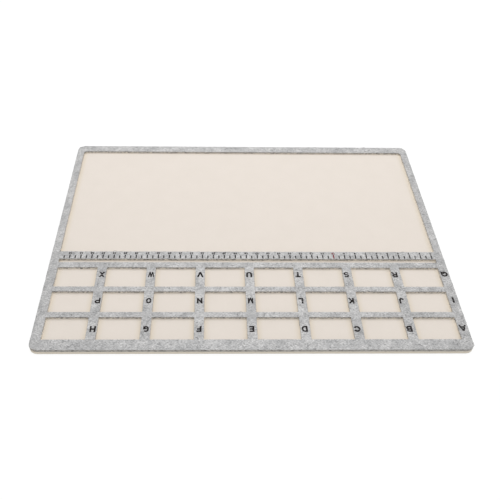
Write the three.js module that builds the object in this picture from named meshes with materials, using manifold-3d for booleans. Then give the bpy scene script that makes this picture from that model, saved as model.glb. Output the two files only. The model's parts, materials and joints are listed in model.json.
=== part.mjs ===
import * as THREE from 'three';
import { mergeVertices } from 'three/addons/utils/BufferGeometryUtils.js';
import Module from 'manifold-3d';

// Bead mat: a soft base sheet with a die-cut felt overlay bonded on top of it.
// X runs to the user's right, Y away from the user towards the compartments, Z up.
// The origin is the middle of the underside. All sizes are in millimetres.

// Both sheets
const matWidth = 358;
const matDepth = 280;
const outerCornerRadius = 7;

// Layers, from the table up
const baseThickness = 3;
const filmThickness = 0.125;
const feltThickness = 2.2;

// Compartments, in rows along the far side
const columnCount = 8;
const rowCount = 3;
const cellDepth = 23.3;
const farBorder = 10.9;
const sideBorder = 8.4;
const uprightWidth = 8.2;
const rowBarDepth = 5.9;

// Slot behind the ruler strip
const railDepth = 6.7;
const slotDepth = 4.2;
const slotEndBorder = 7.8;

// Ruler strip, and the work window between it and the user
const rulerStripDepth = 9.8;
const nearBorder = 10.1;
const windowSideBorder = 7;
const windowCornerRadius = 3;

// Half the number of straight pieces in each rounded corner
const curveSegments = 4;

// How far a cutting die reaches past both faces of the sheet it cuts
const dieOverrun = 1;

// Edges that follow from the sizes above
const right = matWidth / 2;
const far = matDepth / 2;
const cellsWidth = matWidth - 2 * sideBorder;
const cellWidth = (cellsWidth - (columnCount - 1) * uprightWidth) / columnCount;
const columnPitch = cellWidth + uprightWidth;
const rowPitch = cellDepth + rowBarDepth;
const cellsNear = far - farBorder - rowCount * cellDepth - (rowCount - 1) * rowBarDepth;
const slotFar = cellsNear - railDepth;
const slotNear = slotFar - slotDepth;
const windowFar = slotNear - rulerStripDepth;
const windowNear = -far + nearBorder;

const quarterTurn = Math.PI / 2;
const wasm = await Module();
wasm.setup();

// The outline that base, film and felt share, with four rounded corners.
function sheetOutline() {
  const cornerX = right - outerCornerRadius;
  const cornerY = far - outerCornerRadius;
  const outline = new THREE.Shape();
  outline.absarc(cornerX, cornerY, outerCornerRadius, 0, quarterTurn);
  outline.absarc(-cornerX, cornerY, outerCornerRadius, quarterTurn, 2 * quarterTurn);
  outline.absarc(-cornerX, -cornerY, outerCornerRadius, 2 * quarterTurn, 3 * quarterTurn);
  outline.absarc(cornerX, -cornerY, outerCornerRadius, 3 * quarterTurn, 4 * quarterTurn);
  return outline;
}

// A cut with four sharp corners.
function squareCut(cutLeft, cutRight, cutNear, cutFar) {
  return new THREE.Shape([
    new THREE.Vector2(cutLeft, cutNear),
    new THREE.Vector2(cutRight, cutNear),
    new THREE.Vector2(cutRight, cutFar),
    new THREE.Vector2(cutLeft, cutFar),
  ]);
}

// One cut for each compartment, row by row from the far side.
function compartmentCuts() {
  const cuts = [];
  for (let row = 0; row < rowCount; row++) {
    const cellFar = far - farBorder - row * rowPitch;
    for (let column = 0; column < columnCount; column++) {
      const cellLeft = -right + sideBorder + column * columnPitch;
      cuts.push(squareCut(cellLeft, cellLeft + cellWidth, cellFar - cellDepth, cellFar));
    }
  }
  return cuts;
}

// The long slot that a strand lies in while it is held against the ruler.
function slotCut() {
  const slotRight = right - slotEndBorder;
  return squareCut(-slotRight, slotRight, slotNear, slotFar);
}

// The work window: its two corners nearest the user are rounded, the others sharp.
function windowCut() {
  const windowRight = right - windowSideBorder;
  const cornerX = windowRight - windowCornerRadius;
  const cornerY = windowNear + windowCornerRadius;
  const cut = new THREE.Shape();
  cut.moveTo(windowRight, windowFar);
  cut.lineTo(-windowRight, windowFar);
  cut.absarc(-cornerX, cornerY, windowCornerRadius, 2 * quarterTurn, 3 * quarterTurn);
  cut.absarc(cornerX, cornerY, windowCornerRadius, 3 * quarterTurn, 4 * quarterTurn);
  return cut;
}

function slab(outline, thickness) {
  return new THREE.ExtrudeGeometry(outline, { depth: thickness, bevelEnabled: false, curveSegments });
}

function toSolid(geometry) {
  geometry.deleteAttribute('normal');
  geometry.deleteAttribute('uv');
  const merged = mergeVertices(geometry);
  return new wasm.Manifold(new wasm.Mesh({
    numProp: 3,
    vertProperties: merged.attributes.position.array,
    triVerts: Uint32Array.from(merged.index.array),
  }));
}

function toGeometry(solid) {
  const mesh = solid.getMesh();
  const geometry = new THREE.BufferGeometry();
  geometry.setAttribute('position', new THREE.BufferAttribute(mesh.vertProperties, 3));
  geometry.setIndex(new THREE.BufferAttribute(mesh.triVerts, 1));
  const flatShaded = geometry.toNonIndexed();
  flatShaded.computeVertexNormals();
  return flatShaded;
}

// The lattice that is left of a sheet once every compartment, the slot and the window are cut out.
function dieCutSheet(thickness) {
  let sheet = toSolid(slab(sheetOutline(), thickness));
  for (const cut of [...compartmentCuts(), slotCut(), windowCut()]) {
    const die = slab(cut, thickness + 2 * dieOverrun).translate(0, 0, -dieOverrun);
    sheet = sheet.subtract(toSolid(die));
  }
  return toGeometry(sheet);
}

function layer(name, geometry, underside, color, roughness) {
  const material = new THREE.MeshStandardMaterial({ color, roughness, metalness: 0 });
  const mesh = new THREE.Mesh(geometry, material);
  mesh.name = name;
  mesh.position.z = underside;
  return mesh;
}

const filmUnderside = baseThickness;
const feltUnderside = filmUnderside + filmThickness;

const beadMat = new THREE.Group();
beadMat.add(
  layer('base_sheet', slab(sheetOutline(), baseThickness), 0, 0xebe2d9, 0.95),
  layer('adhesive_film', dieCutSheet(filmThickness), filmUnderside, 0xe6e2d6, 0.45),
  layer('felt_overlay', dieCutSheet(feltThickness), feltUnderside, 0xbcbcbc, 0.97),
);

export default beadMat;
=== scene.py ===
import bpy
import bmesh
import json
import math
import random
from mathutils import Euler, Matrix, Vector


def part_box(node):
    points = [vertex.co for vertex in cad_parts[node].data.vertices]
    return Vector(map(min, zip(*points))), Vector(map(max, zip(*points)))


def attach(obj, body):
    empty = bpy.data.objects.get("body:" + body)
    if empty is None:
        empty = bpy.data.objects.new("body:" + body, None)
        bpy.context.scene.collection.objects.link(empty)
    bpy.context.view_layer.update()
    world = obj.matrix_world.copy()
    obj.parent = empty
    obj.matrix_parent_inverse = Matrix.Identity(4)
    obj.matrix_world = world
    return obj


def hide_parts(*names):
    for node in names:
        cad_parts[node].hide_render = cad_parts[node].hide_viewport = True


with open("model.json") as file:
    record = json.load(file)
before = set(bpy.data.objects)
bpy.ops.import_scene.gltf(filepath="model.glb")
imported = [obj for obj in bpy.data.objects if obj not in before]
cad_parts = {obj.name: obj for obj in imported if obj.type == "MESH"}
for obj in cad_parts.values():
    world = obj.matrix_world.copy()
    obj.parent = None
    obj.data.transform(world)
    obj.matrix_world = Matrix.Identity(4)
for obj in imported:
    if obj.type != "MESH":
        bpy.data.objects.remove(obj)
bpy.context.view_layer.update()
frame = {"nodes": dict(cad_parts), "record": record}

mm = 0.001
sameSpot = 0.001 * mm  # points nearer than this count as one

baseLow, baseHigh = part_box("base_sheet")
feltLow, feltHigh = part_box("felt_overlay")
halfWidth = baseHigh.x
halfDepth = baseHigh.y


# selection, copying and edit mode

def clearSelection():
    bpy.ops.object.select_all(action="DESELECT")


def makeActive(piece):
    clearSelection()
    piece.select_set(True)
    bpy.context.view_layer.objects.active = piece


def enterEdit(piece, mode):
    makeActive(piece)
    bpy.ops.object.mode_set(mode="EDIT")
    bpy.ops.mesh.select_mode(type=mode)


def leaveEdit():
    bpy.ops.object.mode_set(mode="OBJECT")


def copyOf(piece):
    # each copy has a mesh of its own
    copy = piece.copy()
    copy.data = piece.data.copy()
    bpy.context.collection.objects.link(copy)
    return copy


def joinAll(name, pieces):
    makeActive(pieces[0])
    for piece in pieces:
        piece.select_set(True)
    bpy.ops.object.transform_apply()
    bpy.ops.object.join()
    joined = bpy.context.object
    joined.name = name
    return joined


def pick(piece, kind, wanted):
    # selects the wanted "edges" or "faces" in edit mode
    bpy.ops.mesh.select_all(action="DESELECT")
    mesh = bmesh.from_edit_mesh(piece.data)
    for part in getattr(mesh, kind):
        if wanted(part):
            part.select_set(True)
    bmesh.update_edit_mesh(piece.data)


def raiseSlab(height):
    # turns the flat mesh in edit mode into a closed slab
    bpy.ops.mesh.select_all(action="SELECT")
    bpy.ops.mesh.extrude_region_move(TRANSFORM_OT_translate={"value": (0, 0, height)})
    bpy.ops.mesh.select_all(action="SELECT")
    bpy.ops.mesh.normals_make_consistent(inside=False)


edgeKinds = {
    "wallRise": 0.3 * mm,  # an upright edge climbs more than this
    "wallStray": 0.05 * mm,  # and goes sideways less than this
    "wallNormal": 0.2,  # a cut wall's normal points up or down less than this
    "faceNormal": 0.8,  # and a face's normal more than this
}


def isUpright(edge):
    first, second = (vertex.co for vertex in edge.verts)
    climbs = abs(first.z - second.z) > edgeKinds["wallRise"]
    return climbs and (first.xy - second.xy).length < edgeKinds["wallStray"]


def isRim(edge, height):
    # the edge between a sheet's face at that height and its cut wall
    level = all(abs(vertex.co.z - height) <= sameSpot for vertex in edge.verts)
    if not level or len(edge.link_faces) != 2:
        return False
    lean = sorted(abs(face.normal.z) for face in edge.link_faces)
    return lean[0] < edgeKinds["wallNormal"] and lean[1] > edgeKinds["faceNormal"]


def spans(edge, axis, start, end):
    # true for an edge that crosses one ruled strip from side to side
    ends = sorted(vertex.co[axis] for vertex in edge.verts)
    return abs(ends[0] - start) < sameSpot and abs(ends[1] - end) < sameSpot


def isInside(point, cut):
    return cut["left"] < point.x < cut["right"] and cut["near"] < point.y < cut["far"]


# flat sheets, ruled into strips so that every cut edge has a line of points along it

def flatPlane(name, width, depth):
    clearSelection()
    bpy.ops.mesh.primitive_plane_add(size=1)
    plane = bpy.context.object
    plane.name = name
    bpy.ops.transform.resize(value=(width, depth, 1))
    bpy.ops.object.transform_apply(location=False, rotation=False, scale=True)
    return plane


def ruledSheet(name, xLines, yLines, pitch, cutOuts):
    sheet = flatPlane(name, xLines[-1] - xLines[0], yLines[-1] - yLines[0])
    enterEdit(sheet, "FACE")
    for axis, lines in enumerate((xLines, yLines)):
        across = (1 - axis, axis, 0)
        for line in lines[1:-1]:
            bpy.ops.mesh.select_all(action="SELECT")
            bpy.ops.mesh.bisect(plane_co=[line * part for part in across], plane_no=across)

    def isCut(face):
        middle = face.calc_center_median()
        return any(isInside(middle, cut) for cut in cutOuts)

    pick(sheet, "faces", isCut)
    bpy.ops.mesh.delete(type="FACE")
    bpy.ops.mesh.select_mode(type="EDGE")
    for axis, lines in enumerate((xLines, yLines)):
        for start, end in zip(lines, lines[1:]):
            cuts = round((end - start) / pitch) - 1
            if cuts > 0:
                pick(sheet, "edges", lambda edge: spans(edge, axis, start, end))
                bpy.ops.mesh.subdivide(number_cuts=cuts)
    leaveEdit()
    return sheet


def roundOuterCorners(sheet, radius):
    # each square corner patch is eased into a quarter disc
    for vertex in sheet.data.vertices:
        x = (abs(vertex.co.x) - halfWidth) / radius + 1
        y = (abs(vertex.co.y) - halfDepth) / radius + 1
        if x > 0 and y > 0:
            across = halfWidth + radius * (x * math.sqrt(1 - y * y / 2) - 1)
            along = halfDepth + radius * (y * math.sqrt(1 - x * x / 2) - 1)
            vertex.co.x = math.copysign(across, vertex.co.x)
            vertex.co.y = math.copysign(along, vertex.co.y)


def fillWindowCorners(sheet, window, radius, reach):
    # the felt runs into the window's two near corners in a small round
    for cornerX, inward in ((window["left"], 1), (window["right"], -1)):
        for vertex in sheet.data.vertices:
            a = (vertex.co.x - cornerX) * inward
            b = vertex.co.y - window["near"]
            if max(a, b) > radius:
                continue
            alongX = min(max(a, 0), radius)
            alongY = min(max(b, 0), radius)
            turn = (1 + (alongX - alongY) / radius) * math.pi / 4
            fade = max(0, 1 - max(-a, -b, 0) / reach)
            vertex.co.x += inward * fade * (radius - radius * math.cos(turn) - alongX)
            vertex.co.y += fade * (radius - radius * math.sin(turn) - alongY)


def waver(piece, direction, amount, grain, basis, group=""):
    # shifts the points by soft noise, as cloth edges and naps never lie quite true
    makeActive(piece)
    clouds = bpy.data.textures.new(piece.name + direction, "CLOUDS")
    clouds.noise_scale = grain
    clouds.noise_depth = 2
    clouds.noise_basis = basis
    shift = piece.modifiers.new("waver", "DISPLACE")
    shift.texture = clouds
    shift.texture_coords = "LOCAL"
    shift.direction = direction
    shift.mid_level = 0.5
    shift.strength = amount
    shift.vertex_group = group
    bpy.ops.object.modifier_apply(modifier=shift.name)


def waverSideways(piece, amount, grain):
    waver(piece, "X", amount, grain, "ORIGINAL_PERLIN")
    waver(piece, "Y", amount, grain, "BLENDER_ORIGINAL")


def groupAbove(piece, name, height):
    group = piece.vertex_groups.new(name=name)
    above = [vertex.index for vertex in piece.data.vertices if vertex.co.z > height]
    group.add(above, 1, "REPLACE")


# settings for the two sheets

baseSheet = {
    "cornerRadius": 7 * mm,
    "pitch": 3 * mm,
    "leastStep": 0.5 * mm,
    "shadeSteps": (0, 1.2 * mm, 3 * mm, 6 * mm),  # rulings in each opening, for the painted shade and painted light there
    "edgeRound": 0.55 * mm,
    "edgeRows": 3,
    "edgeWaver": 0.25 * mm,
    "edgeGrain": 5 * mm,
    "napWaver": 0.12 * mm,
    "napGrain": 9 * mm,
}

feltSheet = {
    "windowCorner": 3 * mm,
    "windowCornerReach": 5 * mm,
    "pitch": 1.05 * mm,
    "edgeRound": 0.4 * mm,
    "edgeRows": 2,
    "cutWaver": 0.3 * mm,
    "cutGrain": 5 * mm,
    "cutFray": 0.4 * mm,
    "cutFrayGrain": 2.4 * mm,
    "outerBand": 2.5 * mm,
    "napStart": 0.1 * mm,  # the nap wavers from this height above the underside
    "napWaver": 0.16 * mm,
    "napGrain": 3.5 * mm,
}


def feltCutOuts():
    # the felt's own edges round each opening of the record
    points = [vertex.co for vertex in frame["nodes"]["felt_overlay"].data.vertices]
    cutOuts = {}
    for opening in frame["record"]["physics"]["openings"]:
        low, high = opening["box_m"]
        cutOuts[opening["name"]] = {
            "left": max(p.x for p in points if p.x < low[0]),
            "right": min(p.x for p in points if p.x > high[0]),
            "near": max(p.y for p in points if p.y < low[1]),
            "far": min(p.y for p in points if p.y > high[1]),
        }
    # the window's nearest points are those where its two rounds start
    cutOuts["work_window"]["near"] -= feltSheet["windowCorner"]
    return cutOuts


def inOrder(values, least=0):
    # sorted, with values nearer than the least step to the last one left out
    lines = []
    for value in sorted({round(value, 6) for value in values}):
        if not lines or value - lines[-1] > least:
            lines.append(value)
    return lines


def outlineLines(half, inset):
    # rulings at a sheet's two edges and where its round corners start
    return [-half, inset - half, half - inset, half]


def makeBase(cutOuts):
    inset = baseSheet["cornerRadius"]
    xLines = outlineLines(halfWidth, inset)
    yLines = outlineLines(halfDepth, inset)
    for cut in cutOuts.values():
        for step in baseSheet["shadeSteps"]:
            xLines += [cut["left"] + step, cut["right"] - step]
            if cut["far"] - cut["near"] > 2 * step:
                yLines += [cut["near"] + step, cut["far"] - step]
    xLines = inOrder(xLines, baseSheet["leastStep"])
    yLines = inOrder(yLines, baseSheet["leastStep"])
    base = ruledSheet("baseSheet", xLines, yLines, baseSheet["pitch"], [])
    roundOuterCorners(base, inset)
    thickness = baseHigh.z - baseLow.z
    enterEdit(base, "FACE")
    raiseSlab(thickness)
    bpy.ops.mesh.select_mode(type="EDGE")
    pick(base, "edges", lambda edge: isRim(edge, 0) or isRim(edge, thickness))
    bpy.ops.mesh.bevel(offset=baseSheet["edgeRound"], segments=2, affect="EDGES")
    pick(base, "edges", isUpright)
    bpy.ops.mesh.subdivide(number_cuts=baseSheet["edgeRows"])
    leaveEdit()
    waverSideways(base, baseSheet["edgeWaver"], baseSheet["edgeGrain"])
    groupAbove(base, "nap", thickness / 2)
    waver(base, "Z", baseSheet["napWaver"], baseSheet["napGrain"], "IMPROVED_PERLIN", "nap")
    markGaps(base, cutOuts)
    makeActive(base)
    bpy.ops.object.shade_smooth()
    print("base sheet", len(base.data.polygons), "faces")
    return base


def markGaps(base, cutOuts):
    # how far the nap is from the felt beside it and from the felt on the user's side,
    # 0 at the felt and 1 at the last step; across the wide window the near gap stays at 1, so no
    # painted light goes there
    sideGap = base.data.attributes.new("sideGap", "FLOAT", "POINT")
    nearGap = base.data.attributes.new("nearGap", "FLOAT", "POINT")
    reach = baseSheet["shadeSteps"][-1]
    for vertex in base.data.vertices:
        x, y = vertex.co.xy
        beside = 0
        ahead = 0
        for name, cut in cutOuts.items():
            if cut["left"] <= x <= cut["right"] and cut["near"] <= y <= cut["far"]:
                beside = min(x - cut["left"], cut["right"] - x)
                ahead = reach if name == "work_window" else y - cut["near"]
        sideGap.data[vertex.index].value = min(beside / reach, 1)
        nearGap.data[vertex.index].value = min(ahead / reach, 1)


def makeFelt(cutOuts):
    inset = baseSheet["cornerRadius"]
    window = cutOuts["work_window"]
    windowRound = feltSheet["windowCorner"]
    xLines = outlineLines(halfWidth, inset)
    xLines += [window["left"] + windowRound, window["right"] - windowRound]
    yLines = outlineLines(halfDepth, inset)
    yLines += [window["near"] + windowRound]
    cuts = list(cutOuts.values())
    for cut in cuts:
        xLines += [cut["left"], cut["right"]]
        yLines += [cut["near"], cut["far"]]
    pitch = feltSheet["pitch"]
    felt = ruledSheet("feltOverlay", inOrder(xLines), inOrder(yLines), pitch, cuts)
    roundOuterCorners(felt, inset)
    fillWindowCorners(felt, window, windowRound, feltSheet["windowCornerReach"])
    waverSideways(felt, feltSheet["cutWaver"], feltSheet["cutGrain"])
    waver(felt, "X", feltSheet["cutFray"], feltSheet["cutFrayGrain"], "BLENDER_ORIGINAL")
    waver(felt, "Y", feltSheet["cutFray"], feltSheet["cutFrayGrain"], "ORIGINAL_PERLIN")
    thickness = feltHigh.z - feltLow.z
    enterEdit(felt, "FACE")
    raiseSlab(thickness)
    bpy.ops.mesh.select_mode(type="EDGE")
    pick(felt, "edges", lambda edge: isRim(edge, thickness))
    bpy.ops.mesh.bevel(offset=feltSheet["edgeRound"], segments=2, affect="EDGES")
    pick(felt, "edges", isUpright)
    bpy.ops.mesh.subdivide(number_cuts=feltSheet["edgeRows"])
    bpy.ops.mesh.select_all(action="SELECT")
    bpy.ops.transform.translate(value=(0, 0, feltLow.z))
    leaveEdit()
    groupAbove(felt, "nap", feltLow.z + feltSheet["napStart"])
    napGrain = feltSheet["napGrain"]
    waver(felt, "NORMAL", feltSheet["napWaver"], napGrain, "IMPROVED_PERLIN", "nap")
    markOutside(felt)
    makeActive(felt)
    bpy.ops.object.shade_smooth()
    print("felt overlay", len(felt.data.polygons), "faces")
    return felt


def markOutside(felt):
    # 1 along the mat's outer edge, 0 by the openings, where pale light comes up from the base
    outside = felt.data.attributes.new("outside", "FLOAT", "POINT")
    for vertex in felt.data.vertices:
        gap = min(halfWidth - abs(vertex.co.x), halfDepth - abs(vertex.co.y))
        outside.data[vertex.index].value = 1 if gap < feltSheet["outerBand"] else 0


# loose hairs that stand off the felt, three hairs copied over and over

looseHairs = {
    "length": 2.2 * mm,
    "thickness": 0.15 * mm,
    "bends": (  # sideways shares of the length
        (0.15, 0.2, 0.15, 0),
        (0.1, 0.03, -0.08, -0.04),
        (0.01, 0.05, 0.12, 0.22),
    ),
    "rooted": 0.3 * mm,
    "seed": 11,
    "onFace": 2800,
    "faceNormal": 0.9,  # faces whose normal points up more than this are the flat top
    "faceSizes": (0.6, 1.5),
    "faceLift": (0.02, 0.14),
    "faceRoll": 0.5,
    "inboard": 0.5 * mm,  # hairs on the face end this far inside the mat's outline
    "onEdge": 1800,
    "rimNormal": 0.2,  # and from this up to the flat top they are the rounded rims
    "edgeSizes": (0.3, 0.62),
    "edgeAlong": (0.4, 1),
    "edgeOut": (0.05, 0.45),
    "edgeRise": (-0.8, 0.05),
    "edgeRoll": 1,
}


def makeHair(bend):
    curve = bpy.data.curves.new("looseHair", "CURVE")
    curve.dimensions = "3D"
    curve.bevel_depth = looseHairs["thickness"] / 2
    curve.bevel_resolution = 0
    curve.use_fill_caps = True
    line = curve.splines.new("POLY")
    line.points.add(len(bend))
    length = looseHairs["length"]
    for count, aside in enumerate((0, *bend)):
        line.points[count].co = (count / len(bend) * length, aside * length, 0, 1)
    hair = bpy.data.objects.new("looseHair", curve)
    bpy.context.collection.objects.link(hair)
    makeActive(hair)
    bpy.ops.object.convert(target="MESH")
    return bpy.context.object


def placeHair(root, lie, roll, size):
    start = root - lie.normalized() * looseHairs["rooted"]
    turn = lie.to_track_quat("X", "Z").to_matrix().to_4x4()
    placed = Matrix.Translation(start) @ turn
    return placed @ Matrix.Rotation(roll, 4, "X") @ Matrix.Scale(size, 4)


def hangsOver(tip, cutOuts):
    radius = baseSheet["cornerRadius"]
    acrossCorner = max(abs(tip.x) - halfWidth + radius, 0)
    alongCorner = max(abs(tip.y) - halfDepth + radius, 0)
    if math.hypot(acrossCorner, alongCorner) > radius - looseHairs["inboard"]:
        return True
    return any(isInside(tip, cut) for cut in cutOuts.values())


def faceHairs(draw, felt, cutOuts):
    # they lie on the face, turned round where they would hang over an edge
    flatTop = looseHairs["faceNormal"]
    roll = looseHairs["faceRoll"]
    faces = [face for face in felt.data.polygons if face.normal.z > flatTop]
    places = []
    for face in draw.choices(faces, k=looseHairs["onFace"]):
        turn = draw.uniform(0, 2 * math.pi)
        lie = Vector((math.cos(turn), math.sin(turn), draw.uniform(*looseHairs["faceLift"])))
        size = draw.uniform(*looseHairs["faceSizes"])
        if hangsOver(face.center + lie * size * looseHairs["length"], cutOuts):
            lie.xy = -lie.xy
        places.append(placeHair(face.center, lie, draw.uniform(-roll, roll), size))
    return places


def edgeHairs(draw, felt):
    # short ones that stand out of the cut edges
    flatTop = looseHairs["faceNormal"]
    roll = looseHairs["edgeRoll"]
    rims = [face for face in felt.data.polygons
            if looseHairs["rimNormal"] < face.normal.z < flatTop]
    places = []
    for face in draw.choices(rims, k=looseHairs["onEdge"]):
        outward = face.normal.copy()
        outward.z = 0
        outward.normalize()
        along = Vector((-outward.y, outward.x, 0))
        sideways = draw.choice((-1, 1)) * draw.uniform(*looseHairs["edgeAlong"])
        lie = outward * draw.uniform(*looseHairs["edgeOut"]) + along * sideways
        lie.z = draw.uniform(*looseHairs["edgeRise"])
        size = draw.uniform(*looseHairs["edgeSizes"])
        places.append(placeHair(face.center, lie, draw.uniform(-roll, roll), size))
    return places


def makeHairs(felt, cutOuts):
    shapes = [makeHair(bend) for bend in looseHairs["bends"]]
    draw = random.Random(looseHairs["seed"])
    places = faceHairs(draw, felt, cutOuts) + edgeHairs(draw, felt)
    copies = []
    for count, place in enumerate(places):
        copy = copyOf(shapes[count % len(shapes)])
        copy.matrix_world = place
        copies.append(copy)
    hairs = joinAll("looseHairs", copies)
    bpy.ops.object.shade_smooth()
    for shape in shapes:
        bpy.data.objects.remove(shape)
    print("loose hairs", len(hairs.data.polygons), "faces")
    return hairs


# printed marks on the felt, drawn as pen strokes
# a bar is (x, y, x, y), a bow (centre x, centre y, half width, half height, first and last degree),
# all as shares of the box that the middle of the pen moves in

strokes = {
    "A": [(0, 0, 0.5, 1.15), (0.5, 1.15, 1, 0), (0.2, 0.28, 0.8, 0.28)],
    "B": [(0, 0, 0, 1), (0, 1, 0.5, 1), (0, 0.53, 0.5, 0.53), (0, 0, 0.55, 0),
          (0.5, 0.765, 0.42, 0.235, -90, 90), (0.55, 0.265, 0.45, 0.265, -90, 90)],
    "C": [(0.5, 0.5, 0.5, 0.5, 26, 334)],
    "D": [(0, 0, 0, 1), (0, 1, 0.4, 1), (0, 0, 0.4, 0), (0.4, 0.5, 0.6, 0.5, -90, 90)],
    "E": [(0, 0, 0, 1), (0, 1, 1, 1), (0, 0.52, 0.9, 0.52), (0, 0, 1, 0)],
    "F": [(0, 0, 0, 1), (0, 1, 1, 1), (0, 0.5, 0.85, 0.5)],
    "G": [(0.5, 0.5, 0.5, 0.5, 38, 345), (0.55, 0.44, 1, 0.44), (1, 0.44, 1, 0.05)],
    "H": [(0, 0, 0, 1), (1, 0, 1, 1), (0, 0.52, 1, 0.52)],
    "I": [(0.5, 0, 0.5, 1)],
    "J": [(1, 1, 1, 0.32), (0.5, 0.32, 0.5, 0.32, -170, 0)],
    "K": [(0, 0, 0, 1), (0.05, 0.32, 1, 1), (0.36, 0.56, 1, 0)],
    "L": [(0, 0, 0, 1), (0, 0, 1, 0)],
    "M": [(0, 0, 0, 1), (1, 0, 1, 1), (0, 1, 0.5, -0.1), (0.5, -0.1, 1, 1)],
    "N": [(0, 0, 0, 1), (1, 0, 1, 1), (0, 1, 1, 0)],
    "O": [(0.5, 0.5, 0.5, 0.5, 0, 360)],
    "P": [(0, 0, 0, 1), (0, 1, 0.5, 1), (0, 0.46, 0.5, 0.46), (0.5, 0.73, 0.5, 0.27, -90, 90)],
    "Q": [(0.5, 0.5, 0.5, 0.5, 0, 360), (0.66, 0.24, 1.02, -0.06)],
    "R": [(0, 0, 0, 1), (0, 1, 0.5, 1), (0, 0.48, 0.5, 0.48), (0.5, 0.74, 0.46, 0.26, -90, 90),
          (0.55, 0.48, 1, 0)],
    "S": [(0.5, 0.755, 0.46, 0.245, 22, 270), (0.5, 0.255, 0.5, 0.255, -160, 90)],
    "T": [(0, 1, 1, 1), (0.5, 0, 0.5, 1)],
    "U": [(0, 1, 0, 0.36), (1, 1, 1, 0.36), (0.5, 0.36, 0.5, 0.36, 180, 360)],
    "V": [(0, 1, 0.5, -0.15), (0.5, -0.15, 1, 1)],
    "W": [(0, 1, 0.25, -0.1), (0.25, -0.1, 0.5, 1.1), (0.5, 1.1, 0.75, -0.1), (0.75, -0.1, 1, 1)],
    "X": [(0, 0, 1, 1), (0, 1, 1, 0)],
    "0": [(0.5, 0.5, 0.5, 0.5, 0, 360)],
    "1": [(0.65, 0, 0.65, 1), (0.15, 0.72, 0.65, 0.95)],
    "2": [(0.5, 0.7, 0.5, 0.3, -35, 165), (0.9, 0.52, 0, 0.02), (0, 0, 1, 0)],
    "3": [(0.45, 0.76, 0.46, 0.24, -90, 150), (0.45, 0.26, 0.52, 0.26, -150, 90)],
    "4": [(0.7, 1, 0, 0.3), (0, 0.3, 1, 0.3), (0.7, 0, 0.7, 1)],
    "5": [(0.1, 1, 0.95, 1), (0.1, 1, 0.05, 0.5), (0.45, 0.33, 0.52, 0.33, -150, 130)],
    "6": [(0.5, 0.3, 0.5, 0.3, 0, 360), (0.62, 0.36, 0.62, 0.64, 75, 180)],
    "7": [(0, 1, 1, 1), (1, 1, 0.35, 0)],
    "8": [(0.5, 0.77, 0.42, 0.23, 0, 360), (0.5, 0.27, 0.5, 0.27, 0, 360)],
    "9": [(0.5, 0.7, 0.5, 0.3, 0, 360), (0.38, 0.64, 0.62, 0.64, -105, 0)],
}

penStroke = {
    "bowStep": 24,  # degrees between the points of a bow
    "leastSteps": 4,
    "barStep": 1.2,  # pen widths between the points of a bar
    "squareReach": 0.5,  # pen widths that a level or upright bar runs past its ends
    "slantReach": 0.7,  # and a slanting one, which is then trimmed
}

inkLayer = {
    "sink": 0.1 * mm,
    "rise": 0.09 * mm,
    "step": 0.003 * mm,  # crossing strokes differ by this in height, so no two faces share a plane
    "ragged": 0.12 * mm,
    "raggedGrain": 1.1 * mm,
}


def isBow(stroke):
    return len(stroke) == 6


def isRing(stroke):
    return isBow(stroke) and stroke[5] - stroke[4] == 360


def penLine(stroke, width, height, pen):
    # points along the middle of one stroke, in metres from the glyph's lower left corner
    def inBox(u, v):
        return pen / 2 + u * (width - pen), pen / 2 + v * (height - pen)

    if isBow(stroke):
        centreU, centreV, halfU, halfV, first, last = stroke
        count = max(penStroke["leastSteps"], round(abs(last - first) / penStroke["bowStep"]))
        turns = [math.radians(first + (last - first) * i / count) for i in range(count + 1)]
        points = [
            inBox(centreU + halfU * math.cos(turn), centreV + halfV * math.sin(turn))
            for turn in turns
        ]
        return points[:-1] if isRing(stroke) else points
    start = Vector(inBox(*stroke[:2]))
    end = Vector(inBox(*stroke[2:]))
    isSquare = start.x == end.x or start.y == end.y
    widths = penStroke["squareReach"] if isSquare else penStroke["slantReach"]
    reach = (end - start).normalized() * pen * widths
    start = start - reach
    end = end + reach
    count = max(1, round((end - start).length / (penStroke["barStep"] * pen)))
    return [tuple(start.lerp(end, i / count)) for i in range(count + 1)]


def drawGlyph(glyph, width, height, pen):
    curve = bpy.data.curves.new("glyph", "CURVE")
    curve.dimensions = "3D"
    curve.twist_mode = "Z_UP"
    curve.extrude = pen / 2
    for layer, stroke in enumerate(strokes[glyph]):
        points = penLine(stroke, width, height, pen)
        line = curve.splines.new("POLY")
        line.use_cyclic_u = isRing(stroke)
        line.points.add(len(points) - 1)
        for point, (x, y) in zip(line.points, points):
            point.co = (x, y, layer * inkLayer["step"], 1)
            point.tilt = math.pi / 2
    mark = bpy.data.objects.new("glyph", curve)
    bpy.context.collection.objects.link(mark)
    makeActive(mark)
    bpy.ops.object.convert(target="MESH")
    mark = bpy.context.object
    trimLevel(mark, height)
    thickenInk(mark)
    return mark


def trimLevel(mark, height):
    # cuts off what the strokes leave below the foot and above the head of the glyph
    enterEdit(mark, "FACE")
    for level, outer in ((0, False), (height, True)):
        bpy.ops.mesh.select_all(action="SELECT")
        bpy.ops.mesh.bisect(
            plane_co=(0, level, 0), plane_no=(0, 1, 0), clear_outer=outer, clear_inner=not outer)
    leaveEdit()


def thickenInk(mark):
    enterEdit(mark, "FACE")
    raiseSlab(inkLayer["sink"] + inkLayer["rise"])
    leaveEdit()


def layMark(mark, x, y):
    # a mark starts a little way inside the felt's face
    mark.location = (x, y, feltHigh.z - inkLayer["sink"])
    return mark


def joinMarks(name, marks):
    joined = joinAll(name, marks)
    waverSideways(joined, inkLayer["ragged"], inkLayer["raggedGrain"])
    return joined


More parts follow.
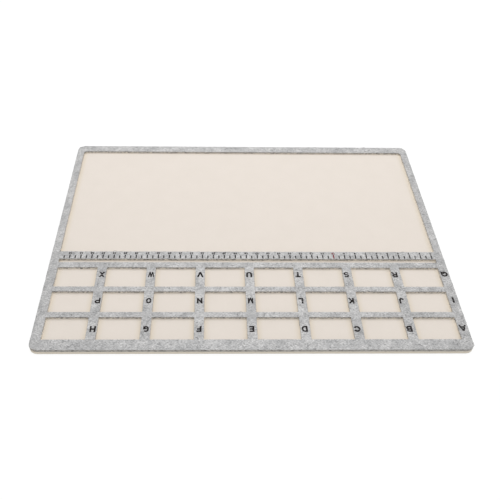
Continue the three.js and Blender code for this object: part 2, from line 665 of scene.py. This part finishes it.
indexLetters = {
    "rows": ["ABCDEFGH", "IJKLMNOP", "QRSTUVWX"],
    "height": 6.3 * mm,
    "pen": 1.5 * mm,
    "columnPitch": 43.3 * mm,
    "middleColumn": 4,  # counted from 0, on the mat's middle line
    "setOver": 0.3 * mm,
    "rowPitch": 31.1 * mm,
    "middleRow": 1,
    "middleRowPlace": 87.4 * mm,
    "firstColumnPlace": -174.4 * mm,  # the first column stands on the side border
    "firstColumnDrop": 1.0 * mm,
    "width": 4.7 * mm,
    "ownWidth": {
        "A": 5.7 * mm, "B": 4.9 * mm, "C": 5.8 * mm, "D": 5.1 * mm, "E": 4.1 * mm, "F": 4.0 * mm,
        "H": 5.0 * mm, "J": 4.2 * mm, "K": 4.4 * mm, "L": 4.1 * mm, "M": 4.5 * mm, "Q": 6.2 * mm,
        "R": 5.0 * mm, "U": 5.2 * mm, "V": 5.3 * mm, "W": 5.4 * mm, "X": 4.1 * mm,
    },
    "ownPen": {
        "A": 1.4 * mm, "C": 1.6 * mm, "G": 1.4 * mm, "I": 1.7 * mm, "K": 1.4 * mm, "L": 1.65 * mm,
        "M": 1.05 * mm, "N": 1.4 * mm, "O": 1.4 * mm, "P": 1.35 * mm, "Q": 1.6 * mm, "R": 1.4 * mm,
        "S": 1.35 * mm, "W": 0.95 * mm, "X": 1.35 * mm,
    },
}


def letterPlace(row, column):
    fromMiddle = column - indexLetters["middleColumn"]
    x = fromMiddle * indexLetters["columnPitch"] + indexLetters["setOver"]
    above = indexLetters["middleRow"] - row
    y = indexLetters["middleRowPlace"] + above * indexLetters["rowPitch"]
    if column == 0:
        x = indexLetters["firstColumnPlace"]
        y -= indexLetters["firstColumnDrop"]
    return x, y


def makeLetters():
    marks = []
    height = indexLetters["height"]
    for row, letters in enumerate(indexLetters["rows"]):
        for column, letter in enumerate(letters):
            x, y = letterPlace(row, column)
            width = indexLetters["ownWidth"].get(letter, indexLetters["width"])
            pen = indexLetters["ownPen"].get(letter, indexLetters["pen"])
            mark = drawGlyph(letter, width, height, pen)
            marks.append(layMark(mark, x - width / 2, y - height / 2))
    letters = joinMarks("indexLetters", marks)
    print("index letters", len(letters.data.polygons), "faces")
    return letters


ruler = {
    "centimetres": 34,
    "centimetre": 10 * mm,
    "zero": 1.05 * mm,  # from the sheet's left edge
    "tickGap": 0.8 * mm,
    "longTick": 4.6 * mm,
    "shortTick": 3.5 * mm,
    "tickWidth": 1.05 * mm,
    "tickCuts": 4,
    "numeralDrop": 8.5 * mm,
    "numeralHeight": 2.4 * mm,
    "numeralWidth": 1.45 * mm,
    "numeralSpace": 0.2 * mm,
    "numeralPen": 0.55 * mm,
    "redNumber": 10,
}


def drawTick(length):
    tick = flatPlane("tick", ruler["tickWidth"], length)
    enterEdit(tick, "EDGE")
    pick(tick, "edges", lambda edge: spans(edge, 1, -length / 2, length / 2))
    bpy.ops.mesh.subdivide(number_cuts=ruler["tickCuts"])
    leaveEdit()
    thickenInk(tick)
    return tick


def layNumber(number, digits, x, bottom):
    advance = ruler["numeralWidth"] + ruler["numeralSpace"]
    left = x - (len(str(number)) * advance - ruler["numeralSpace"]) / 2
    return [
        layMark(copyOf(digits[digit]), left + place * advance, bottom)
        for place, digit in enumerate(str(number))
    ]


def makeRuler(slot):
    longTick = drawTick(ruler["longTick"])
    shortTick = drawTick(ruler["shortTick"])
    digits = {
        digit: drawGlyph(digit, ruler["numeralWidth"], ruler["numeralHeight"], ruler["numeralPen"])
        for digit in "0123456789"
    }
    dark = []
    red = []
    top = slot["near"] - ruler["tickGap"]
    for count in range(1, ruler["centimetres"] + 1):
        x = ruler["zero"] + count * ruler["centimetre"] - halfWidth
        halfway = x + ruler["centimetre"] / 2
        ink = red if count == ruler["redNumber"] else dark
        ink.append(layMark(copyOf(longTick), x, top - ruler["longTick"] / 2))
        ink.extend(layNumber(count, digits, x, slot["near"] - ruler["numeralDrop"]))
        dark.append(layMark(copyOf(shortTick), halfway, top - ruler["shortTick"] / 2))
    for shape in (longTick, shortTick, *digits.values()):
        bpy.data.objects.remove(shape)
    marks = joinMarks("rulerMarks", dark)
    tenMark = joinMarks("rulerTenMark", red)
    print("ruler marks", len(marks.data.polygons) + len(tenMark.data.polygons), "faces")
    return marks, tenMark


# nodes

def addNode(tree, kind, inputs=None, **settings):
    # each input takes another node's output or a plain value
    node = tree.nodes.new("ShaderNode" + kind)
    for name, value in settings.items():
        setattr(node, name, value)
    for name, value in (inputs or {}).items():
        if isinstance(value, bpy.types.NodeSocket):
            tree.links.new(value, node.inputs[name])
        else:
            node.inputs[name].default_value = value
    return node


def addMath(tree, operation, *values):
    return addNode(tree, "Math", dict(enumerate(values)), operation=operation).outputs[0]


def addNoise(tree, where, scale, detail=2.0, rough=0.5):
    return addNode(tree, "TexNoise", {
        "Vector": where, "Scale": scale, "Detail": detail, "Roughness": rough,
    })


def remap(tree, value, start, end, first=0.0, last=1.0, curve="LINEAR"):
    # carries the values between start and end over to those between first and last
    return addNode(tree, "MapRange", {
        "Value": value, "From Min": start, "From Max": end, "To Min": first, "To Max": last,
    }, interpolation_type=curve).outputs[0]


def mixColours(tree, share, first, second, blend="MIX"):
    # the colour sockets of a mix node are 6 and 7, and its colour output is 2
    node = addNode(
        tree, "Mix", {0: share, 6: first, 7: second}, data_type="RGBA", blend_type=blend)
    return node.outputs[2]


def linear(colour):
    # a colour as read on screen, 0 to 255, in Blender's linear values
    def straight(value):
        part = value / 255
        return part / 12.92 if part <= 0.04045 else ((part + 0.055) / 1.055) ** 2.4
    return (*(straight(value) for value in colour), 1)


def grey(value):
    return (value, value, value, 1)


# loose short fibres, used in the felt, the nap, the film and the ink

fibreLook = {
    "lies": ((0.4, 0.3), (1.5, 0.35), (2.6, 0.3)),  # each set of strands: its turn and its squeeze
    "curl": 5 * mm,
    "curlDetail": 1.0,
    "strandRough": 0.6,
    "darkWeight": 1.4,  # dark strands against light ones in the tone
    "toneRange": (0.85, 1.45),
    "fleckRange": (0.34, 0.22),
    "patchDetail": 3.0,
    "patchRough": 0.55,
    "patchRange": (0.32, 0.68),
}


def fibreGroup():
    # Tone is light and dark strands, Height their relief, Patch wide soft cloudiness
    # and Fleck the few darkest strands
    group = bpy.data.node_groups.new("looseFibres", "ShaderNodeTree")
    sockets = group.interface
    sockets.new_socket("Vector", in_out="INPUT", socket_type="NodeSocketVector")
    for name in ("Strand Width", "Patch Size"):
        sockets.new_socket(name, in_out="INPUT", socket_type="NodeSocketFloat")
    for name in ("Tone", "Height", "Patch", "Fleck"):
        sockets.new_socket(name, in_out="OUTPUT", socket_type="NodeSocketFloat")
    source = group.nodes.new("NodeGroupInput")
    target = group.nodes.new("NodeGroupOutput")
    where = source.outputs["Vector"]
    fine = addMath(group, "DIVIDE", 1.0, source.outputs["Strand Width"])
    wide = addMath(group, "DIVIDE", 1.0, source.outputs["Patch Size"])
    curl = addNoise(group, where, wide, fibreLook["curlDetail"]).outputs["Color"]
    middle = (0.5, 0.5, 0.5)
    centred = addNode(group, "VectorMath", {0: curl, 1: middle}, operation="SUBTRACT")
    bend = addNode(group, "VectorMath", {
        0: centred.outputs[0], "Scale": fibreLook["curl"],
    }, operation="SCALE")
    bent = addNode(group, "VectorMath", {0: where, 1: bend.outputs[0]}, operation="ADD")
    strands = []
    for turn, squeeze in fibreLook["lies"]:
        lie = addNode(group, "Mapping", {
            "Vector": bent.outputs[0], "Rotation": (0, 0, turn), "Scale": (squeeze, 1, 1),
        })
        strand = addNoise(group, lie.outputs[0], fine, rough=fibreLook["strandRough"])
        strands.append(strand.outputs["Fac"])
    lightest = addMath(group, "MAXIMUM", addMath(group, "MAXIMUM", *strands[:2]), strands[2])
    darkest = addMath(group, "MINIMUM", addMath(group, "MINIMUM", *strands[:2]), strands[2])
    both = addMath(group, "MULTIPLY_ADD", darkest, fibreLook["darkWeight"], lightest)
    cloud = addNoise(group, where, wide, fibreLook["patchDetail"], fibreLook["patchRough"])
    results = {
        "Tone": remap(group, both, *fibreLook["toneRange"]),
        "Height": lightest,
        "Patch": remap(group, cloud.outputs["Fac"], *fibreLook["patchRange"]),
        "Fleck": remap(group, darkest, *fibreLook["fleckRange"]),
    }
    for name, value in results.items():
        group.links.new(value, target.inputs[name])
    return group


looseFibres = fibreGroup()


# what the materials share

def newMaterial(name):
    material = bpy.data.materials.new(name)
    material.use_nodes = True
    tree = material.node_tree
    shader = tree.nodes["Principled BSDF"]
    place = addNode(tree, "TexCoord").outputs["Object"]
    return material, tree, shader, place


def placeFibres(tree, place, finish):
    return addNode(tree, "Group", {
        "Vector": place, "Strand Width": finish["strandWidth"], "Patch Size": finish["patchSize"],
    }, node_tree=looseFibres).outputs


def addBump(tree, shader, fibres, finish):
    bump = addNode(tree, "Bump", {
        "Strength": finish["bump"], "Distance": finish["relief"], "Height": fibres["Height"],
    })
    tree.links.new(bump.outputs[0], shader.inputs["Normal"])


def setSurface(shader, finish):
    for name, value in finish["surface"].items():
        shader.inputs[name].default_value = value


def wallMask(tree):
    # 1 on the cut walls, 0 on the flat faces, by how far the normal points up or down
    wallEnd = 0.35
    faceStart = 0.85
    normal = addNode(tree, "SeparateXYZ", {0: addNode(tree, "NewGeometry").outputs["Normal"]})
    upright = addMath(tree, "ABSOLUTE", normal.outputs["Z"])
    return remap(tree, upright, wallEnd, faceStart, 1.0, 0.0)


def cutLayers(tree, place, finish):
    # noise that is finer upright than along the cut, like the layers of a sheet's edge
    layers = addNode(tree, "Mapping", {"Vector": place, "Scale": (1, 1, finish["cutLayers"])})
    scale = 1 / finish["cutGrain"]
    noise = addNoise(tree, layers.outputs[0], scale, finish["cutDetail"], finish["cutRough"])
    return noise.outputs["Fac"]


# felt

feltFinish = {
    "dark": (155, 154, 154),
    "light": (242, 241, 240),
    "fleck": (92, 92, 95),
    "fleckShare": 0.9,
    "patchShade": (219, 220, 221),  # multiplied over the strands
    "endShade": (244, 244, 244),  # painted shade, multiplied the same way, growing towards the mat's two ends
    "endStart": 0.2,  # from this share of the half width
    # painted shade: the cut walls' dark layers are darker than the felt itself, standing in for
    # shadow on the walls
    "cutDark": (72, 67, 62),
    "cutLight": (214, 209, 203),
    "cutRange": (0.4, 0.62),
    "cutGrain": 2.2 * mm,
    "cutDetail": 5.0,
    "cutRough": 0.7,
    "cutLayers": 3,
    "outerCut": (180, 175, 168),  # the outer edge gets less of the painted shade, so it is paler and more even than the openings
    "outerRange": (0.43, 0.57),
    "outerShare": 0.6,
    # painted light: a pale foot on the walls in the openings, for light bounced up from the base
    "cutFoot": (244, 236, 222),
    "footHeight": 1.3 * mm,
    "footWaver": 4.5 * mm,
    "footGrain": 2.2 * mm,
    "strandWidth": 0.56 * mm,
    "patchSize": 9 * mm,
    "relief": 0.35 * mm,
    "bump": 0.5,
    "roughRange": (1.0, 0.88),  # from the dark strands to the light ones
    "surface": {"Specular IOR Level": 0.2, "Sheen Weight": 0.36, "Sheen Roughness": 0.6},
}


def feltFace(tree, spot, fibres):
    # mottled strands with flecks, darker in soft patches of the felt's own tone, with painted shade
    # growing towards the two ends
    dark = linear(feltFinish["dark"])
    strands = mixColours(tree, fibres["Tone"], dark, linear(feltFinish["light"]))
    flecks = addMath(tree, "MULTIPLY", fibres["Fleck"], feltFinish["fleckShare"])
    flecked = mixColours(tree, flecks, strands, linear(feltFinish["fleck"]))
    patchShade = linear(feltFinish["patchShade"])
    clouded = mixColours(tree, fibres["Patch"], flecked, patchShade, "MULTIPLY")
    aside = addMath(tree, "ABSOLUTE", spot["X"])
    toEnds = remap(tree, aside, feltFinish["endStart"] * halfWidth, halfWidth)
    return mixColours(tree, toEnds, clouded, linear(feltFinish["endShade"]), "MULTIPLY")


def feltCut(tree, place, spot):
    # torn layers with painted shade in their dark parts, less of that painted shade along the
    # outside, and painted bounce light from the base as a pale foot in the openings
    torn = remap(tree, cutLayers(tree, place, feltFinish), *feltFinish["cutRange"])
    dark = linear(feltFinish["cutDark"])
    cutFace = mixColours(tree, torn, dark, linear(feltFinish["cutLight"]))
    outside = addNode(tree, "Attribute", attribute_name="outside").outputs["Fac"]
    wavy = addNoise(tree, place, 1 / feltFinish["footGrain"]).outputs["Fac"]
    spots = remap(tree, wavy, *feltFinish["outerRange"], 0.0, feltFinish["outerShare"])
    calm = addMath(tree, "MULTIPLY", outside, spots)
    cutFace = mixColours(tree, calm, cutFace, linear(feltFinish["outerCut"]))
    height = addMath(tree, "MULTIPLY_ADD", wavy, feltFinish["footWaver"], spot["Z"])
    footStart = feltLow.z + feltFinish["footWaver"] / 2
    foot = remap(tree, height, footStart, footStart + feltFinish["footHeight"], 1.0, 0.0)
    inside = addMath(tree, "SUBTRACT", 1.0, outside)
    lit = addMath(tree, "MULTIPLY", foot, inside)
    return mixColours(tree, lit, cutFace, linear(feltFinish["cutFoot"]))


def feltMaterial():
    material, tree, shader, place = newMaterial("greyFelt")
    fibres = placeFibres(tree, place, feltFinish)
    spot = addNode(tree, "SeparateXYZ", {0: place}).outputs
    face = feltFace(tree, spot, fibres)
    colour = mixColours(tree, wallMask(tree), face, feltCut(tree, place, spot))
    tree.links.new(colour, shader.inputs["Base Color"])
    rough = remap(tree, fibres["Tone"], 0.0, 1.0, *feltFinish["roughRange"])
    tree.links.new(rough, shader.inputs["Roughness"])
    addBump(tree, shader, fibres, feltFinish)
    setSurface(shader, feltFinish)
    return material


# base nap

baseFinish = {
    "cream": (233, 224, 215),
    "deep": (227, 218, 208),
    "patchShare": 0.3,
    "grainShare": 0.25,
    "byFelt": (228, 217, 200),  # painted shade, warmer and darker where the nap nears the felt
    "byFeltShare": 0.8,
    "lifted": (250, 243, 233),  # painted light, pale again right at the felt on the user's side
    "liftedReach": 0.3,  # as a share of the marked gap
    # painted light: the base's cut walls are paler than the nap on its top
    "cutEdge": (248, 240, 225),
    "cutDeep": (236, 225, 207),
    "cutGrain": 1.4 * mm,
    "cutDetail": 4.0,
    "cutRough": 0.65,
    "cutLayers": 4,
    "strandWidth": 0.5 * mm,
    "patchSize": 16 * mm,
    "relief": 0.18 * mm,
    "bump": 0.45,
    "surface": {
        "Roughness": 0.95, "Specular IOR Level": 0.2,
        "Sheen Weight": 0.02, "Sheen Roughness": 0.5,
    },
}


def napFace(tree, fibres):
    deep = linear(baseFinish["deep"])
    cloud = addMath(tree, "MULTIPLY", fibres["Patch"], baseFinish["patchShare"])
    nap = mixColours(tree, cloud, linear(baseFinish["cream"]), deep)
    grain = remap(tree, fibres["Tone"], 0.0, 1.0, 0.0, baseFinish["grainShare"])
    grained = mixColours(tree, grain, nap, deep)
    # painted shade on the nap near the felt at the sides
    sideGap = addNode(tree, "Attribute", attribute_name="sideGap").outputs["Fac"]
    byFelt = remap(tree, sideGap, 0.0, 1.0, baseFinish["byFeltShare"], 0.0, "SMOOTHSTEP")
    feltShaded = mixColours(tree, byFelt, grained, linear(baseFinish["byFelt"]))
    # painted light on the nap right at the felt on the user's side
    nearGap = addNode(tree, "Attribute", attribute_name="nearGap").outputs["Fac"]
    atFelt = remap(tree, nearGap, 0.0, baseFinish["liftedReach"], 1.0, 0.0)
    return mixColours(tree, atFelt, feltShaded, linear(baseFinish["lifted"]))


def baseMaterial():
    material, tree, shader, place = newMaterial("creamNap")
    fibres = placeFibres(tree, place, baseFinish)
    foam = cutLayers(tree, place, baseFinish)
    cutDeep = linear(baseFinish["cutDeep"])
    cutFace = mixColours(tree, foam, linear(baseFinish["cutEdge"]), cutDeep)
    colour = mixColours(tree, wallMask(tree), napFace(tree, fibres), cutFace)
    tree.links.new(colour, shader.inputs["Base Color"])
    addBump(tree, shader, fibres, baseFinish)
    setSurface(shader, baseFinish)
    return material


# hairs, film and ink

hairFinish = {
    "dark": (96, 96, 99),
    "light": (240, 240, 239),
    "grain": 0.8 * mm,
    "grainShare": 0.3,
    "toneRange": (0.15, 1.15),
    "surface": {"Roughness": 0.85, "Specular IOR Level": 0.2},
}

filmFinish = {
    "dull": (214, 206, 190),
    "clear": (226, 219, 205),
    "strandWidth": 1.2 * mm,
    "patchSize": 6 * mm,
    "surface": {"Roughness": 0.6},
}

inkFinish = {
    "colours": {  # the ink, and its tone where the felt's strands come through
        "black": ((25, 20, 20), (114, 109, 109)),
        "red": ((124, 28, 38), (150, 96, 100)),
    },
    "wornRange": (0.55, 1.0),
    "wornShare": 0.3,
    "strandWidth": 0.7 * mm,
    "patchSize": 3 * mm,
    "relief": 0.2 * mm,
    "bump": 0.4,
    "surface": {"Roughness": 0.8, "Specular IOR Level": 0.2},
}


def hairMaterial():
    material, tree, shader, place = newMaterial("looseHair")
    own = addNode(tree, "NewGeometry").outputs["Random Per Island"]
    grain = addNoise(tree, place, 1 / hairFinish["grain"]).outputs["Fac"]
    tone = addMath(tree, "MULTIPLY_ADD", grain, hairFinish["grainShare"], own)
    share = remap(tree, tone, *hairFinish["toneRange"])
    colour = mixColours(tree, share, linear(hairFinish["dark"]), linear(hairFinish["light"]))
    tree.links.new(colour, shader.inputs["Base Color"])
    setSurface(shader, hairFinish)
    return material


def filmMaterial():
    material, tree, shader, place = newMaterial("bondFilm")
    fibres = placeFibres(tree, place, filmFinish)
    dull = linear(filmFinish["dull"])
    colour = mixColours(tree, fibres["Patch"], dull, linear(filmFinish["clear"]))
    tree.links.new(colour, shader.inputs["Base Color"])
    setSurface(shader, filmFinish)
    return material


def inkMaterial(name):
    material, tree, shader, place = newMaterial(name + "Ink")
    fibres = placeFibres(tree, place, inkFinish)
    bare = remap(tree, fibres["Tone"], *inkFinish["wornRange"], 0.0, inkFinish["wornShare"])
    ink, worn = inkFinish["colours"][name]
    colour = mixColours(tree, bare, linear(ink), linear(worn))
    tree.links.new(colour, shader.inputs["Base Color"])
    addBump(tree, shader, fibres, inkFinish)
    setSurface(shader, inkFinish)
    return material


# camera, floor and light

camera = {
    "place": (0.0318, 0.4697, 0.4289),
    "pitch": 43.572,  # degrees below level
    "yaw": -1.935,
    "roll": 1.465,
    "lens": 48.06,
    "sensor": 36,
    "shiftX": 0.04,
    "clipStart": 0.01,
}

studio = {
    "floorSize": 6,
    "floorDrop": 0.05 * mm,
    "floorTone": 0.82,  # as the light bounces off it
    "floorPale": 1.04,  # as it is seen
    "shadowShare": 0.13,  # how much of that paleness the object's shadow can take away
    "skyStrength": 0.62,
    "lampPower": 6.6,
    "lampSize": 0.9,
    "lampPlace": (-0.04, -0.45, 1.05),
}


def makeCamera():
    clearSelection()
    tilt = math.radians(90 - camera["pitch"])
    heading = math.radians(180 + camera["yaw"])
    turn = Euler((tilt, 0, heading)).to_matrix()
    turn = turn @ Matrix.Rotation(math.radians(camera["roll"]), 3, "Z")
    bpy.ops.object.camera_add(location=camera["place"], rotation=turn.to_euler())
    view = bpy.context.object
    view.data.lens = camera["lens"]
    view.data.sensor_width = camera["sensor"]
    view.data.shift_x = camera["shiftX"]
    view.data.clip_start = camera["clipStart"]
    bpy.context.scene.camera = view


def seenDirectly(tree):
    path = addNode(tree, "LightPath").outputs
    direct = addMath(tree, "MAXIMUM", path["Is Camera Ray"], path["Is Glossy Ray"])
    return addMath(tree, "MAXIMUM", direct, path["Is Transmission Ray"])


def makeFloor():
    clearSelection()
    bpy.ops.mesh.primitive_plane_add(
        size=studio["floorSize"], location=(0, 0, -studio["floorDrop"]))
    floor = bpy.context.object
    floor.name = "floor"
    material = bpy.data.materials.new("paleFloor")
    material.use_nodes = True
    tree = material.node_tree
    tree.nodes.remove(tree.nodes["Principled BSDF"])
    share = studio["shadowShare"]
    plain = addNode(tree, "BsdfDiffuse", {"Color": grey(studio["floorTone"])})
    dim = addNode(tree, "BsdfDiffuse", {"Color": grey(share)})
    glow = addNode(tree, "Emission", {"Color": grey(1), "Strength": studio["floorPale"] - share})
    pale = addNode(tree, "AddShader", {0: dim.outputs[0], 1: glow.outputs[0]})
    seen = addNode(tree, "MixShader", {
        0: seenDirectly(tree), 1: plain.outputs[0], 2: pale.outputs[0],
    })
    tree.links.new(seen.outputs[0], tree.nodes["Material Output"].inputs["Surface"])
    floor.data.materials.append(material)


def makeSky():
    world = bpy.data.worlds.new("studio")
    world.use_nodes = True
    bpy.context.scene.world = world
    tree = world.node_tree
    sky = tree.nodes["Background"]
    sky.inputs["Color"].default_value = grey(1)
    sky.inputs["Strength"].default_value = studio["skyStrength"]
    white = addNode(tree, "Background", {"Color": grey(1), "Strength": 1.0})
    seen = addNode(tree, "MixShader", {
        0: seenDirectly(tree), 1: sky.outputs[0], 2: white.outputs[0],
    })
    tree.links.new(seen.outputs[0], tree.nodes["World Output"].inputs["Surface"])


def makeLamp():
    bpy.ops.object.light_add(type="AREA", location=studio["lampPlace"])
    lamp = bpy.context.object
    lamp.rotation_euler = Vector(studio["lampPlace"]).to_track_quat("Z", "Y").to_euler()
    lamp.data.shape = "SQUARE"
    lamp.data.size = studio["lampSize"]
    lamp.data.energy = studio["lampPower"]


def dress(piece, material):
    piece.data.materials.clear()
    piece.data.materials.append(material)


def finishPiece(piece, material, node=None):
    dress(piece, material)
    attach(piece, "root")
    if node:
        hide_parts(node)


makeCamera()
makeFloor()
makeSky()
makeLamp()
bpy.context.scene.view_settings.view_transform = "Standard"
print("studio ready")

cutOuts = feltCutOuts()
base = makeBase(cutOuts)
felt = makeFelt(cutOuts)
hairs = makeHairs(felt, cutOuts)
letters = makeLetters()
rulerMarks, tenMark = makeRuler(cutOuts["ruler_slot"])

finishPiece(base, baseMaterial(), "base_sheet")
finishPiece(felt, feltMaterial(), "felt_overlay")
finishPiece(hairs, hairMaterial())
blackInk = inkMaterial("black")
finishPiece(letters, blackInk)
finishPiece(rulerMarks, blackInk)
finishPiece(tenMark, inkMaterial("red"))
dress(frame["nodes"]["adhesive_film"], filmMaterial())

print("pieces ready")
